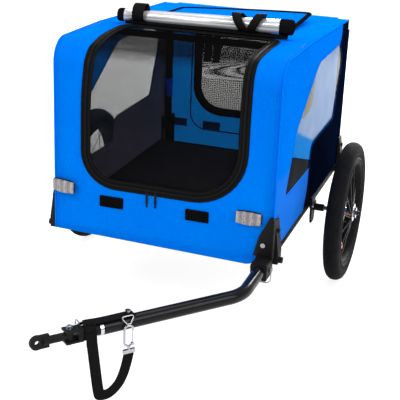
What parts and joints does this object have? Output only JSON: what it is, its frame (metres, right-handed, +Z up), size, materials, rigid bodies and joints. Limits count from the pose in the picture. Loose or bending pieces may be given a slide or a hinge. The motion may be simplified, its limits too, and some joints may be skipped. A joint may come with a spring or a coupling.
{
  "type": "dog bike trailer",
  "caption": "Enclosed pet trailer with a fabric cabin on a folding tube frame, mesh doors, side windows, spoked wheels and an offset tow bar that hitches to a bicycle's rear axle.",
  "frame": {"origin": "ground plane, centre of the footprint without the hanging strap", "axes": "+Z up, -Y to the front where the tow bar points, +X to the trailer's right in the picture"},
  "size_m": [0.877, 1.4124, 0.7519],
  "materials": {
    "blue_cloth": "woven, satin",
    "black_cloth": "woven webbing",
    "mesh": "open net",
    "zip_tape": "ribbed tape",
    "window": "clear film",
    "frame_tube": "gloss black",
    "moulding": "fine grain",
    "bright_steel": "bright",
    "hub_chrome": "polished",
    "rim": "gloss",
    "tyre": "matt, ribbed",
    "clear_reflector": "prismatic",
    "amber_reflector": "prismatic"
  },
  "bodies": {
    "chassis": {"axle_brackets": "frame_tube", "axles": "bright_steel", "base_cross_tubes": "frame_tube", "base_side_tubes": "frame_tube", "floor_panel": "black_cloth", "frame_bolts": "bright_steel", "hitch_socket": "moulding", "hitch_yoke": "moulding", "roof_flap": "blue_cloth", "roof_panel": "blue_cloth", "safety_strap": "black_cloth", "side_panel_left": "blue_cloth", "side_panel_right": "blue_cloth", "side_windows": "window", "snap_hook": "bright_steel", "strap_loop": "black_cloth", "strap_ring": "bright_steel", "tow_bar": "frame_tube", "tow_ferrule": "bright_steel", "tow_pins": "bright_steel"},
    "front_hoop": {"front_crossbar": "frame_tube", "front_door_mesh": "mesh", "front_door_zip": "zip_tape", "front_feet": "moulding", "front_foot_bolts": "bright_steel", "front_panel": "blue_cloth", "front_reflectors": "clear_reflector", "front_top_corners": "moulding", "front_uprights": "frame_tube", "rain_cover_roll": "window", "roll_straps": "black_cloth", "zip_sliders": "bright_steel"},
    "rear_hoop": {"rear_crossbar": "frame_tube", "rear_door_mesh": "mesh", "rear_door_zip": "zip_tape", "rear_feet": "moulding", "rear_foot_bolts": "bright_steel", "rear_panel": "blue_cloth", "rear_top_corners": "moulding", "rear_uprights": "frame_tube"},
    "coupler": {"coupler": "moulding"},
    "hitch_bail": {"hitch_pin_bail": "bright_steel"},
    "lock_bail": {"lock_pin_bail": "bright_steel"},
    "hook_gate": {"snap_hook_gate": "bright_steel"},
    "button_left": {"release_button_left": "moulding"},
    "button_right": {"release_button_right": "moulding"},
    "zip_left": {"zip_pull_left": "bright_steel"},
    "zip_right": {"zip_pull_right": "bright_steel"},
    "wheel_left": {"tyre_left": "tyre", "rim_left": "rim", "spokes_left": "bright_steel", "hub_left": "hub_chrome", "hub_bearings_left": "bright_steel", "wheel_reflector_left": "amber_reflector"},
    "wheel_right": {"tyre_right": "tyre", "rim_right": "rim", "spokes_right": "bright_steel", "hub_right": "hub_chrome", "hub_bearings_right": "bright_steel", "wheel_reflector_right": "amber_reflector"}
  },
  "joints": [
    {"name": "front_frame_fold", "type": "hinge", "parent": "chassis", "child": "front_hoop", "pos_m": [0, -0.09406, 0.206], "axis": [-1, 0, 0], "range_deg": [0, 56], "deforming": ["side_panel_left", "side_panel_right", "side_windows", "roof_panel", "roof_flap"]},
    {"name": "rear_frame_fold", "type": "hinge", "parent": "chassis", "child": "rear_hoop", "pos_m": [0, 0.68994, 0.206], "axis": [1, 0, 0], "range_deg": [0, 50]},
    {"name": "wheel_left_spin", "type": "hinge", "parent": "chassis", "child": "wheel_left", "pos_m": [-0.3935, 0.33394, 0.198], "axis": [1, 0, 0], "continuous": true},
    {"name": "wheel_right_spin", "type": "hinge", "parent": "chassis", "child": "wheel_right", "pos_m": [0.3935, 0.33394, 0.198], "axis": [1, 0, 0], "continuous": true},
    {"name": "coupler_yaw", "type": "hinge", "parent": "chassis", "child": "coupler", "pos_m": [-0.00071, -0.63706, 0.198], "axis": [0, 0, 1], "range_deg": [-30, 30]},
    {"name": "hitch_bail_swing", "type": "hinge", "parent": "chassis", "child": "hitch_bail", "pos_m": [-0.00071, -0.63706, 0.198], "axis": [0, 0, 1], "range_deg": [0, 40]},
    {"name": "lock_bail_swing", "type": "hinge", "parent": "chassis", "child": "lock_bail", "pos_m": [0.28, -0.14506, 0.198], "axis": [1, 0, 0], "range_deg": [-40, 40]},
    {"name": "hook_gate_swing", "type": "hinge", "parent": "chassis", "child": "hook_gate", "pos_m": [0.10521, -0.54463, 0.1553], "axis": [0.7627, -0.6468, 0], "range_deg": [0, 20], "stiffness_Nm_per_rad": 0.02},
    {"name": "button_left_press", "type": "slide", "parent": "chassis", "child": "button_left", "axis": [1, 0, 0], "range_m": [0, 0.003], "stiffness_N_per_m": 400},
    {"name": "button_right_press", "type": "slide", "parent": "chassis", "child": "button_right", "axis": [-1, 0, 0], "range_m": [0, 0.003], "stiffness_N_per_m": 400},
    {"name": "zip_pull_left_lift", "type": "hinge", "parent": "front_hoop", "child": "zip_left", "pos_m": [-0.038, -0.11236, 0.3415], "axis": [-1, 0, 0], "range_deg": [0, 80]},
    {"name": "zip_pull_right_lift", "type": "hinge", "parent": "front_hoop", "child": "zip_right", "pos_m": [-0.015, -0.11236, 0.3415], "axis": [-1, 0, 0], "range_deg": [0, 80]}
  ],
  "couplings": [
    {"joint": "rear_frame_fold", "follows": "front_frame_fold", "ratio": 0.89286}
  ]
}
